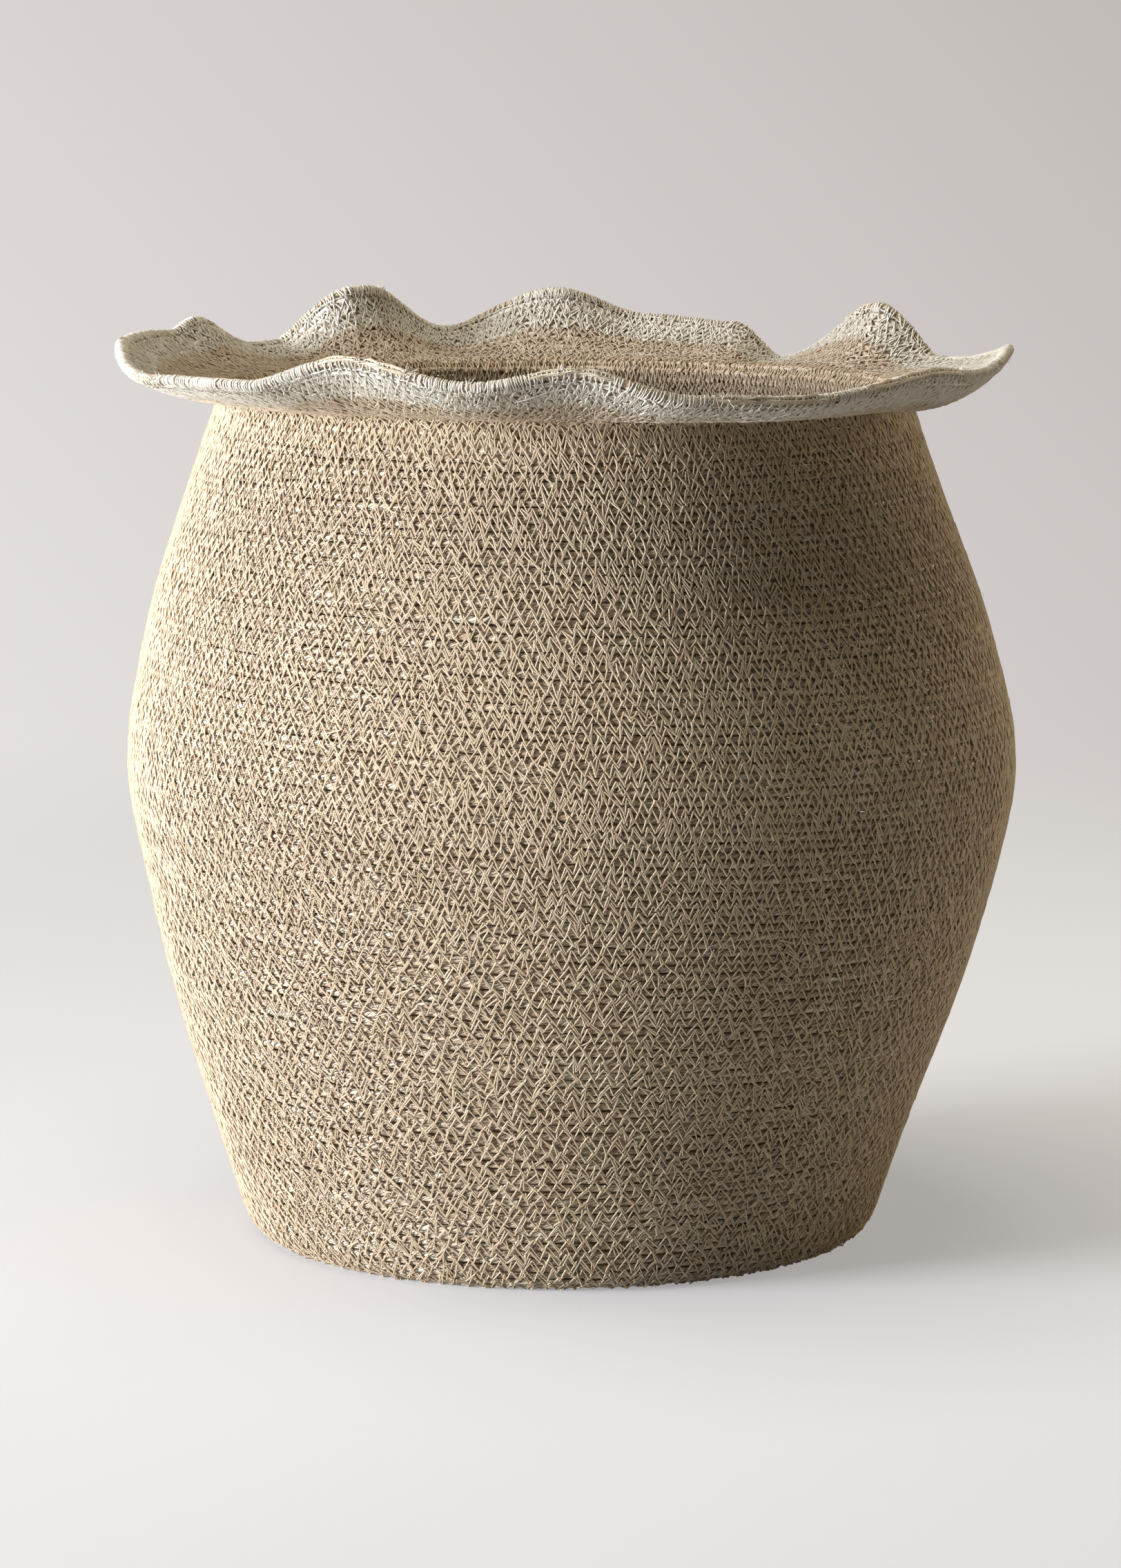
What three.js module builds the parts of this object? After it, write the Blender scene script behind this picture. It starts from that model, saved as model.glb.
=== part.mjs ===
// Belly basket of coiled seagrass, in millimetres, +Z up, front towards -Y.
// One cord is wound flat for the base, turned up at the heel, carried over the belly to a narrow
// neck, and then fed in longer than its row, so that the flared collar stands in waves. The rows
// are sewn side by side, and a last cord round the rim is whipped with white thread.
// The origin is the middle of the base's underside.

import * as THREE from 'three';

// Driving dimensions

const bellyDiameter = 400; // outside, at the widest row
const bellyHeight = 225; // floor to the widest row
const footDiameter = 266; // the flat that stands on the floor
const heelSpread = 12; // how far outside the flat the round of the heel meets the wall
const heelHeight = 12;
const neckDiameter = 311; // outside, at the crease under the collar
const neckHeight = 380; // floor to the middle of the crease
const spliceHeight = 238; // where a new length of cord starts, just over the belly

const cordThickness = 4; // thickness of the sewn wall
const rowPitch = 3.7; // one row of cord to the next
const seam = 0.3; // clearance left between two pieces that touch

const creaseRadius = 3; // outside, in the groove of the neck
const collarWidth = 43.5; // along the sheet, from the crease to the seam at the rim
const rimCordDiameter = 3;
const whippingThickness = 0.5;

const bellyDrift = 4.8; // the hand-wound belly sits this far to one side of its foot
const neckDrift = 1.5; // and the neck this far
const rowTilt = 11; // how much higher than level the middle rows run on the left-hand side

const leavingAngle = 8; // degrees above level, where a part of the collar with no wave leaves the neck

// Waves of the collar: [angle round the basket, rise from neck to rim, rise where it leaves the
// neck], in degrees, from the right-hand side through the back. Each is a crest, a dip or a shoulder.

const waves = [
  [31, 6, -8], [38.8, 38, 12], [59.3, 0, -10], [65.5, 19.5, 2], [78.5, 23.8, 6],
  [91.2, 43.8, 15], [106.7, 16, 0], [121, 49, 18], [123.3, 48.3, 18], [132.6, 11.8, -4],
  [136.5, 11, -4], [152, 30.5, 8], [156, 23.3, 5], [168, 25.2, 6], [183, 24.5, 6],
  [207.5, 12.5, 2], [216, 14, 2], [228.5, 14.6, 3], [242.3, 30, 8], [259, 17.8, 3],
  [271, 25.5, 6], [285.5, 11, -3], [300, 9.3, -6], [322.5, 18.8, -8], [333, 16.3, -14],
  [353, 22.5, 0],
];

// Outline of the wall between its named heights, in shares:
// [share of the rise from one height to the next, share of the way from one radius to the next].

const lowerWallShares = [[0.22, 0.28], [0.45, 0.575], [0.67, 0.805], [0.88, 0.985]];
const upperWallShares = [[0.14, 0.07], [0.42, 0.305], [0.72, 0.665]];

// Rows of cord in the pieces that are counted in rows

const heelRows = 9; // from the flat base, round the heel, to the first row of the wall
const flatHeelRows = 3; // of these, the ones that still lie flat
const neckRows = 3; // of the wall, fed in tight to close the neck
const whiteRows = 5; // of the collar, sewn with white thread

// How finely the surfaces are divided

const wallSides = 72;
const collarSides = 144;
const outlineSteps = 400;
const rimSides = 6;
const bands = { heel: 4, lowerWall: 7, upperWall: 5, neck: 5, collarUndyed: 3, collarWhite: 2 };

const radians = THREE.MathUtils.degToRad;
const halfCord = cordThickness / 2;

// Outline of the outer face from the foot to the crease, as radius and height

function outerOutline() {
  const foot = footDiameter / 2;
  const heel = foot + heelSpread;
  const [belly, neck] = [bellyDiameter / 2, neckDiameter / 2];
  const wallTop = neckHeight - creaseRadius;
  const { lerp } = THREE.MathUtils;
  const wall = new THREE.SplineCurve([
    new THREE.Vector2(heel, heelHeight),
    ...lowerWallShares.map(([rise, swell]) =>
      new THREE.Vector2(lerp(heel, belly, swell), lerp(heelHeight, bellyHeight, rise))),
    new THREE.Vector2(belly, bellyHeight),
    ...upperWallShares.map(([rise, draw]) =>
      new THREE.Vector2(lerp(belly, neck, draw), lerp(bellyHeight, wallTop, rise))),
    new THREE.Vector2(neck, wallTop),
  ]);
  const lean = wall.getTangent(0);
  const heelRound = new THREE.QuadraticBezierCurve(
    new THREE.Vector2(foot, 0),
    new THREE.Vector2(heel - heelHeight * lean.x / lean.y, 0),
    new THREE.Vector2(heel, heelHeight),
  );
  const outline = new THREE.CurvePath();
  outline.add(new THREE.LineCurve(new THREE.Vector2(0, 0), heelRound.v0));
  outline.add(heelRound);
  outline.add(wall);
  return outline;
}

// The same line half a cord inside, with the distance along it and its heading at each point

function middleOutline() {
  const outline = outerOutline();
  const stations = [];
  let length = 0;
  for (const curve of outline.curves) {
    for (let i = stations.length ? 1 : 0; i <= outlineSteps; i++) {
      const point = curve.getPoint(i / outlineSteps);
      const heading = curve.getTangent(i / outlineSteps);
      point.add(new THREE.Vector2(-heading.y, heading.x).multiplyScalar(halfCord));
      if (stations.length) length += point.distanceTo(stations.at(-1).point);
      stations.push({ point, length, outer: curve.getPoint(i / outlineSteps).y, angle: heading.angle() });
    }
  }
  return stations;
}

const stations = middleOutline();

// Distances along the sheet, from the middle of the base, at which the pieces meet

const footEnd = footDiameter / 2;
const heelStart = footEnd - flatHeelRows * rowPitch;
const heelEnd = heelStart + heelRows * rowPitch;
const spliceLength = stations.find(({ outer }) => outer > spliceHeight).length;
const creaseStart = stations.at(-1).length;
const creaseLength = (creaseRadius + halfCord) * (stations.at(-1).angle - radians(leavingAngle));
const creaseEnd = creaseStart + creaseLength;
const neckStart = creaseStart - neckRows * rowPitch;
const collarEnd = creaseEnd + collarWidth;
const whiteStart = collarEnd - whiteRows * rowPitch;

// A point of an arc that turns steadily from one heading to another over a length

function alongArc(start, from, to, length, share) {
  const turn = (to - from) * share;
  const chord = length * share * (turn ? Math.sin(turn / 2) / (turn / 2) : 1);
  const heading = from + turn / 2;
  return new THREE.Vector2(Math.cos(heading), Math.sin(heading)).multiplyScalar(chord).add(start);
}

// Headings of the collar at an angle round the basket, at the neck and at the rim, eased from one
// wave to the next

function collarHeadings(angle) {
  const { euclideanModulo, smoothstep, lerp } = THREE.MathUtils;
  const turned = euclideanModulo(angle - waves[0][0], 360) + waves[0][0];
  const last = waves.findLastIndex(([place]) => place <= turned);
  const [place, rise, leaving] = waves[last];
  const [nextPlace, nextRise, nextLeaving] = waves[(last + 1) % waves.length];
  const ease = smoothstep(turned, place, nextPlace > place ? nextPlace : nextPlace + 360);
  const start = radians(lerp(leaving, nextLeaving, ease));
  return [start, 2 * radians(lerp(rise, nextRise, ease)) - start];
}

// Share of the wall's rows that a row has above the heel, and how far it is into the belly:
// none at the heel and neck, all between

function wallShare(along) {
  return THREE.MathUtils.clamp((along - heelEnd) / (neckStart - heelEnd), 0, 1);
}

function bellyShare(along) {
  return Math.sin(wallShare(along) * Math.PI) ** 2;
}

// Middle of the sheet at a distance along it and an angle round the basket

function middleOfSheet(along, angle) {
  const round = radians(angle);
  const place = along - rowTilt * bellyShare(along) * Math.cos(round);
  let section;
  if (place <= creaseStart) {
    const next = Math.max(1, stations.findIndex(({ length }) => length >= place));
    const [a, b] = [stations[next - 1], stations[next]];
    section = a.point.clone().lerp(b.point, (place - a.length) / (b.length - a.length));
  } else {
    const { point, angle: wallHeading } = stations.at(-1);
    const [leaving, arriving] = collarHeadings(angle);
    const inCrease = Math.min(1, (place - creaseStart) / creaseLength);
    section = alongArc(point, wallHeading, leaving, creaseLength, inCrease);
    if (place > creaseEnd) {
      section = alongArc(section, leaving, arriving, collarWidth, (place - creaseEnd) / collarWidth);
    }
  }
  const drift = bellyDrift * bellyShare(along) + neckDrift * wallShare(along) ** 2;
  return new THREE.Vector3(section.x * Math.cos(round) + drift, section.x * Math.sin(round), section.y);
}

// Directions at a point of the sheet: out through its outer face, round its row, and on to the next row

function frameOfSheet(along, angle) {
  const reach = seam / 2;
  const reachAngle = THREE.MathUtils.radToDeg(reach / bellyDiameter);
  const round = middleOfSheet(along, angle + reachAngle).sub(middleOfSheet(along, angle - reachAngle));
  const onward = middleOfSheet(along + reach, angle).sub(middleOfSheet(along - reach, angle));
  const outward = round.clone().cross(onward).normalize();
  round.normalize();
  return { outward, round, onward: outward.clone().cross(round) };
}

// Closed body from rings of points: each ring is a closed section, and the rings close on each other.
// The face that closes a section is split the other way, so that where one piece ends and the next
// begins, their facing ends are split alike and keep their distance.

function ringBody(rings) {
  const across = rings[0].length;
  const positions = rings.flat().flatMap((point) => point.toArray());
  const faces = [];
  rings.forEach((_, i) => {
    for (let j = 0; j < across; j++) {
      const next = (j + 1) % across;
      const [here, there] = [i * across, ((i + 1) % rings.length) * across];
      const [a, b, c, d] = [here + j, there + j, there + next, here + next];
      if (next) faces.push(a, b, c, a, c, d);
      else faces.push(a, b, d, b, c, d);
    }
  });
  const geometry = new THREE.BufferGeometry();
  geometry.setAttribute('position', new THREE.Float32BufferAttribute(positions, 3));
  geometry.setIndex(faces);
  geometry.computeVertexNormals();
  return geometry;
}

// Rows of sewn cord between two distances along the sheet, short of each by half a seam

function rowsOfCord(start, end, sides, steps) {
  const low = start + seam / 2;
  const high = end - seam / 2;
  const rings = [];
  for (let i = 0; i < sides; i++) {
    const angle = 360 * i / sides;
    const outer = [];
    const inner = [];
    for (let j = 0; j <= steps; j++) {
      const along = THREE.MathUtils.lerp(low, high, j / steps);
      const middle = middleOfSheet(along, angle);
      const { outward } = frameOfSheet(along, angle);
      outer.push(middle.clone().addScaledVector(outward, halfCord));
      inner.push(middle.clone().addScaledVector(outward, -halfCord));
    }
    rings.push([...outer, ...inner.reverse()]);
  }
  return ringBody(rings);
}

// Flat disc of cord that the basket stands on

function baseDisc() {
  const radius = heelStart - seam / 2;
  const disc = new THREE.LatheGeometry([
    new THREE.Vector2(0, 0),
    new THREE.Vector2(radius, 0),
    new THREE.Vector2(radius, cordThickness),
    new THREE.Vector2(0, cordThickness),
  ], wallSides);
  return disc.rotateX(Math.PI / 2);
}

// The rim's cord lies past the last row of the collar, in a sleeve of whipped thread that is open
// where the thread goes into that row. Sections are drawn round the cord's middle, from the
// direction of the collar.

const rimRadius = rimCordDiameter / 2;
const whippingInside = rimRadius + seam;
const whippingOutside = whippingInside + whippingThickness;
const rimMiddle = collarEnd + seam / 2 + whippingOutside;

function rimSection(angle, outline) {
  const middle = middleOfSheet(rimMiddle, angle);
  const { outward, onward } = frameOfSheet(rimMiddle, angle);
  return outline.map(([radius, turn]) => middle.clone()
    .addScaledVector(onward, -radius * Math.cos(radians(turn)))
    .addScaledVector(outward, radius * Math.sin(radians(turn))));
}

function roundTheRim(outline) {
  const rings = [];
  for (let i = 0; i < collarSides; i++) rings.push(rimSection(360 * i / collarSides, outline));
  return ringBody(rings);
}

function rimCord() {
  const outline = [];
  for (let i = 0; i < rimSides; i++) outline.push([rimRadius, 360 * i / rimSides]);
  return roundTheRim(outline);
}

function rimWhipping() {
  const outside = [];
  const inside = [];
  for (let i = 1; i < rimSides; i++) {
    outside.push([whippingOutside, 360 * i / rimSides]);
    inside.push([whippingInside, 360 * i / rimSides]);
  }
  return roundTheRim([...outside, ...inside.reverse()]);
}

// Finishes: seagrass sewn with undyed thread, the same sewn with white, bare cord, white thread

function finish(color, roughness) {
  return new THREE.MeshStandardMaterial({ color, roughness, metalness: 0 });
}

const undyed = finish('#cdb998', 0.85);
const undyedInside = finish('#bfa987', 0.88);
const whiteSewn = finish('#dcd0bb', 0.82);
const bareCord = finish('#b89d70', 0.8);
const whiteThread = finish('#eee7da', 0.75);

// Assembly, from the floor up

const basket = new THREE.Group();

function add(name, geometry, material) {
  const mesh = new THREE.Mesh(geometry, material);
  mesh.name = name;
  basket.add(mesh);
}

add('base_coil', baseDisc(), undyedInside);
add('heel_coil', rowsOfCord(heelStart, heelEnd, wallSides, bands.heel), undyed);
add('lower_wall_coil', rowsOfCord(heelEnd, spliceLength, wallSides, bands.lowerWall), undyed);
add('upper_wall_coil', rowsOfCord(spliceLength, neckStart, wallSides, bands.upperWall), undyed);
add('neck_coil', rowsOfCord(neckStart, creaseEnd, wallSides, bands.neck), undyed);
add('collar_undyed_coil', rowsOfCord(creaseEnd, whiteStart, collarSides, bands.collarUndyed), undyed);
add('collar_white_coil', rowsOfCord(whiteStart, collarEnd, collarSides, bands.collarWhite), whiteSewn);
add('rim_cord', rimCord(), bareCord);
add('rim_whipping', rimWhipping(), whiteThread);

export default basket;
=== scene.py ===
"""Belly basket of coiled seagrass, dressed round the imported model.

One cord of seagrass is wound flat for the base, turned up at the heel, carried over the belly to a
narrow neck, and fed in long for the wavy collar. Each row is sewn to the one before it by a zigzag
of thread that shows on both faces. White thread sews the last rows of the collar, and is wound over
a cord of bare strands at the rim. Sizes are in millimetres, and meshes are made in metres.
"""

import bpy
import logging
import math
from collections.abc import Iterable
from dataclasses import dataclass, field
from enum import Enum

import numpy as np
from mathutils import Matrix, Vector


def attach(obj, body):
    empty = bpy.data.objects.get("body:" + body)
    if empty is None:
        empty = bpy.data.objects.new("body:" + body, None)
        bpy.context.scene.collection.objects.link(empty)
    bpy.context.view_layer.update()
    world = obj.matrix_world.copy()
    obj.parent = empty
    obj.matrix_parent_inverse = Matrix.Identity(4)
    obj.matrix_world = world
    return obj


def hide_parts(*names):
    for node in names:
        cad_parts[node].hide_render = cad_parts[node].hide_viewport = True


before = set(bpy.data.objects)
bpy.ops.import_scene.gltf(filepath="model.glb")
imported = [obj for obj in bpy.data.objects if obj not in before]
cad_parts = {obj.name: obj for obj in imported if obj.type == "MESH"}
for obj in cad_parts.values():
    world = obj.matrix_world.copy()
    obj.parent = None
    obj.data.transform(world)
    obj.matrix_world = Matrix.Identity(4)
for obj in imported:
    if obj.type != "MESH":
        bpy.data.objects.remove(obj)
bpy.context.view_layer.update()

MM = 0.001
ROOT = "root"
LOG = logging.getLogger("basket")

Colour = tuple[float, float, float]


class Face(Enum):
    """The two faces of the sewn sheet, and the side of its middle that each lies on."""

    OUTER = 1
    INNER = -1


# Shape of the sewn sheet


@dataclass
class Sheet:
    """The sewn sheet of the basket: its outline, the waves of its collar and its lean.

    A place on it is given by the distance along the sheet from the middle of the base, and by the
    angle round the basket, in degrees, from the right-hand side through the back. Each wave is an
    angle, the mean rise of the collar there and its heading as it leaves the crease, in degrees.
    """

    FLAT_POINTS = 300
    HEEL_POINTS = 200
    WALL_POINTS = 1200

    belly_diameter: float = 400.0
    belly_height: float = 225.0
    foot_diameter: float = 266.0
    heel_spread: float = 12.0
    heel_height: float = 12.0
    neck_diameter: float = 311.0
    neck_height: float = 380.0
    splice_height: float = 238.0
    cord_thickness: float = 4.0
    row_pitch: float = 3.7
    seam: float = 0.3
    crease_radius: float = 3.0
    collar_width: float = 43.5
    rim_cord_diameter: float = 3.0
    whipping_thickness: float = 0.5
    belly_drift: float = 4.8
    neck_drift: float = 1.5
    row_tilt: float = 11.0
    leaving_angle: float = 8.0
    heel_rows: int = 9
    flat_heel_rows: int = 3
    neck_rows: int = 3
    white_rows: int = 5
    lower_wall_shares: tuple = ((0.22, 0.28), (0.45, 0.575), (0.67, 0.805), (0.88, 0.985))
    upper_wall_shares: tuple = ((0.14, 0.07), (0.42, 0.305), (0.72, 0.665))
    waves: tuple = (
        (31, 6, -8), (38.8, 38, 12), (59.3, 0, -10), (65.5, 19.5, 2), (78.5, 23.8, 6),
        (91.2, 43.8, 15), (106.7, 16, 0), (121, 49, 18), (123.3, 48.3, 18), (132.6, 11.8, -4),
        (136.5, 11, -4), (152, 30.5, 8), (156, 23.3, 5), (168, 25.2, 6), (183, 24.5, 6),
        (207.5, 12.5, 2), (216, 14, 2), (228.5, 14.6, 3), (242.3, 30, 8), (259, 17.8, 3),
        (271, 25.5, 6), (285.5, 11, -3), (300, 9.3, -6), (322.5, 18.8, -8), (333, 16.3, -14),
        (353, 22.5, 0),
    )

    def __post_init__(self) -> None:
        """Works out the middle line of the sheet and where its pieces meet."""
        outer, heading = self._outer_line()
        half = self.cord_thickness / 2
        self.line = outer + half * np.stack([-np.sin(heading), np.cos(heading)], 1)
        steps = np.linalg.norm(np.diff(self.line, axis=0), axis=1)
        self.length = np.concatenate([[0], np.cumsum(steps)])
        self.wall_heading = heading[-1]
        foot = self.foot_diameter / 2
        self.heel_start = foot - self.flat_heel_rows * self.row_pitch
        self.heel_end = self.heel_start + self.heel_rows * self.row_pitch
        self.splice = self.length[np.argmax(outer[:, 1] > self.splice_height)]
        self.crease_start = self.length[-1]
        turn = self.wall_heading - math.radians(self.leaving_angle)
        self.crease_length = (self.crease_radius + half) * turn
        self.crease_end = self.crease_start + self.crease_length
        self.neck_start = self.crease_start - self.neck_rows * self.row_pitch
        self.collar_end = self.crease_end + self.collar_width
        self.white_start = self.collar_end - self.white_rows * self.row_pitch
        sleeve = self.rim_cord_diameter / 2 + self.seam + self.whipping_thickness
        self.rim_middle = self.collar_end + self.seam / 2 + sleeve

    def _outer_line(self) -> tuple[np.ndarray, np.ndarray]:
        """The outer face's outline from the middle of the base to the crease.

        Returns:
            Points as radius and height, and the heading at each, in radians.
        """
        foot = self.foot_diameter / 2
        heel, belly = foot + self.heel_spread, self.belly_diameter / 2
        neck, top = self.neck_diameter / 2, self.neck_height - self.crease_radius
        knots = [(heel, self.heel_height)]
        for rise, swell in self.lower_wall_shares:
            knots.append((heel + (belly - heel) * swell,
                          self.heel_height + (self.belly_height - self.heel_height) * rise))
        knots.append((belly, self.belly_height))
        for rise, draw in self.upper_wall_shares:
            knots.append((belly + (neck - belly) * draw,
                          self.belly_height + (top - self.belly_height) * rise))
        knots.append((neck, top))
        wall = spline(np.array(knots), self.WALL_POINTS)
        lean = wall[1] - wall[0]
        corner = np.array([heel - self.heel_height * lean[0] / lean[1], 0])
        share = np.linspace(0, 1, self.HEEL_POINTS)[:, None]
        start, end = np.array([foot, 0]), np.array(knots[0])
        rounded = start * (1 - share) ** 2 + 2 * corner * share * (1 - share) + end * share**2
        flat = np.linspace([0, 0], start, self.FLAT_POINTS)
        outer = np.concatenate([flat[:-1], rounded[:-1], wall])
        slope = np.gradient(outer, axis=0)
        heading = np.arctan2(slope[:, 1], slope[:, 0])
        heading[: len(flat) - 1] = 0
        return outer, heading

    def collar_headings(self, angle: np.ndarray) -> tuple[np.ndarray, np.ndarray]:
        """Headings of the collar at the neck and at the rim.

        Args:
            angle: Angles round the basket, in degrees.

        Returns:
            Both headings above level, in radians.
        """
        waves = np.array(self.waves, float)
        waves = np.concatenate([waves, waves[:1] + [360, 0, 0]])
        turned = (angle - waves[0, 0]) % 360 + waves[0, 0]
        last = np.clip(np.searchsorted(waves[:, 0], turned, side="right") - 1, 0, len(waves) - 2)
        share = (turned - waves[last, 0]) / (waves[last + 1, 0] - waves[last, 0])
        change = (waves[last + 1, 1:] - waves[last, 1:]) * eased(share)[..., None]
        rise, leaving = np.moveaxis(np.radians(waves[last, 1:] + change), -1, 0)
        return leaving, 2 * rise - leaving

    def wall_share(self, along: np.ndarray) -> np.ndarray:
        """Share of the wall's rows that lie below a distance along the sheet."""
        return np.clip((along - self.heel_end) / (self.neck_start - self.heel_end), 0, 1)

    def middle(self, along: np.ndarray, angle: np.ndarray) -> np.ndarray:
        """Points in the middle of the sheet.

        Args:
            along: Distances along the sheet, in millimetres.
            angle: Angles round the basket, in degrees.

        Returns:
            Points in millimetres, in a last axis of three.
        """
        along, angle = np.broadcast_arrays(np.asarray(along, float), np.asarray(angle, float))
        belly = np.sin(self.wall_share(along) * np.pi) ** 2
        round_ = np.radians(angle)
        place = along - self.row_tilt * belly * np.cos(round_)
        radius = np.interp(place, self.length, self.line[:, 0])
        height = np.interp(place, self.length, self.line[:, 1])
        leaving, arriving = self.collar_headings(angle)
        in_crease = np.clip((place - self.crease_start) / self.crease_length, 0, 1)
        corner = arc(self.line[-1, 0], self.line[-1, 1], self.wall_heading, leaving,
                     self.crease_length, in_crease)
        out = np.maximum((place - self.crease_end) / self.collar_width, 0)
        collar = arc(*corner, leaving, arriving, self.collar_width, out)
        on_collar = place > self.crease_start
        radius = np.where(on_collar, collar[0], radius)
        height = np.where(on_collar, collar[1], height)
        drift = self.belly_drift * belly + self.neck_drift * self.wall_share(along) ** 2
        return np.stack([radius * np.cos(round_) + drift, radius * np.sin(round_), height], -1)

    def directions(self, along: np.ndarray, angle: np.ndarray) -> tuple[np.ndarray, ...]:
        """Directions at places of the sheet.

        Args:
            along: Distances along the sheet, in millimetres.
            angle: Angles round the basket, in degrees.

        Returns:
            Unit vectors out through the outer face, round the row, and on to the next row.
        """
        reach = self.seam / 2
        turn = math.degrees(reach / self.belly_diameter)
        near = np.maximum(along, reach)
        round_ = unit(self.middle(near, angle + turn) - self.middle(near, angle - turn))
        onward = self.middle(near + reach, angle) - self.middle(near - reach, angle)
        outward = unit(np.cross(round_, onward))
        return outward, round_, np.cross(outward, round_)


def spline(knots: np.ndarray, count: int) -> np.ndarray:
    """Smooth line through knots, with the spacing of the knots kept.

    Args:
        knots: Points, one a row.
        count: How many points to return.

    Returns:
        Points evenly spaced in the knots' own numbering.
    """
    place = np.linspace(0, len(knots) - 1, count)
    cell = np.minimum(place.astype(int), len(knots) - 2)
    share = (place - cell)[:, None]
    ends = [np.clip(cell + shift, 0, len(knots) - 1) for shift in (-1, 0, 1, 2)]
    before, start, end, after = (knots[index] for index in ends)
    leave, arrive = (end - before) / 2, (after - start) / 2
    return ((2 * start - 2 * end + leave + arrive) * share**3
            + (3 * end - 3 * start - 2 * leave - arrive) * share**2 + leave * share + start)


def arc(x: np.ndarray, y: np.ndarray, from_: np.ndarray, to: np.ndarray, length: float,
        share: np.ndarray) -> tuple[np.ndarray, np.ndarray]:
    """Points of arcs that turn steadily from one heading to another.

    Args:
        x: Where each arc starts, across.
        y: Where each arc starts, up.
        from_: Heading at the start, in radians.
        to: Heading after the whole length.
        length: Length of the whole arc.
        share: Share of the length that is gone over.

    Returns:
        The points, across and up.
    """
    turn = (to - from_) * share
    chord = length * share * np.sinc(turn / 2 / np.pi)
    heading = from_ + turn / 2
    return x + chord * np.cos(heading), y + chord * np.sin(heading)


def unit(vectors: np.ndarray) -> np.ndarray:
    """Vectors brought to length one."""
    return vectors / np.maximum(np.linalg.norm(vectors, axis=-1, keepdims=True), 1e-12)


def eased(share: np.ndarray) -> np.ndarray:
    """A share from 0 to 1 that starts and ends gently."""
    return share * share * (3 - 2 * share)


def wander(places: np.ndarray, spacing: float, size: float, seed: int) -> np.ndarray:
    """Smooth hand-made unevenness along a line.

    Args:
        places: Distances along the line.
        spacing: Distance from one swing to the next.
        size: How far it swings, as a standard deviation.
        seed: Number that fixes the draw.

    Returns:
        One value for each place.
    """
    places = np.asarray(places, float)
    low = places.min()
    knots = np.random.default_rng(seed).normal(0, size, int((places.max() - low) / spacing) + 3)
    cell = (places - low) / spacing
    start = cell.astype(int)
    share = eased(cell - start)
    return knots[start] * (1 - share) + knots[start + 1] * share


@dataclass
class Coil:
    """The one cord that winds from the middle of the base to the rim.

    A place on it is a number of turns. Turn by turn the climb to the next row gathers in a short
    step, so that the last row of the collar lies level with the rim and tapers out under it.
    """

    MARKS_PER_TURN = 90

    sheet: Sheet
    start_angle: float = 20.0
    step_share: float = 0.08
    wobble: float = 0.2
    wobble_spacing: float = 24.0

    def __post_init__(self) -> None:
        """Counts the turns and measures the cord."""
        pitch = self.sheet.row_pitch
        last = self.sheet.collar_end - pitch / 2
        self.turns = int(last / pitch) + 1
        self.first = last - pitch * (self.turns - 1)
        grid = np.linspace(0, self.turns, self.turns * self.MARKS_PER_TURN)
        steps = np.linalg.norm(np.diff(self.sheet.middle(*self.locate(grid)), axis=0), axis=1)
        self.grid, self.measure = grid, np.concatenate([[0], np.cumsum(steps)])

    def locate(self, turns: np.ndarray) -> tuple[np.ndarray, np.ndarray]:
        """Place on the sheet of the middle of the cord.

        Args:
            turns: Turns wound from the middle of the base.

        Returns:
            Distances along the sheet and angles round the basket.
        """
        row = np.floor(turns)
        share = turns - row
        late = eased(np.clip((share - 1 + self.step_share) / self.step_share, 0, 1))
        neck = self.turn_at(self.sheet.neck_start)
        gathered = np.clip((turns - neck) / (self.turns - neck), 0, 1)
        climb = share * (1 - gathered) + late * gathered
        return (self.first + self.sheet.row_pitch * (row + climb),
                self.start_angle + 360 * share)

    def turn_at(self, along: float) -> int:
        """The whole turn that starts at the row edge nearest to a distance along the sheet."""
        return round((along - self.first) / self.sheet.row_pitch)

    def travelled(self, turns: np.ndarray) -> np.ndarray:
        """Length of cord wound after so many turns, in millimetres."""
        return np.interp(turns, self.grid, self.measure)

    def turns_after(self, length: np.ndarray) -> np.ndarray:
        """Turns wound with so much cord."""
        return np.interp(length, self.measure, self.grid)


# Trees of nodes


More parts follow.
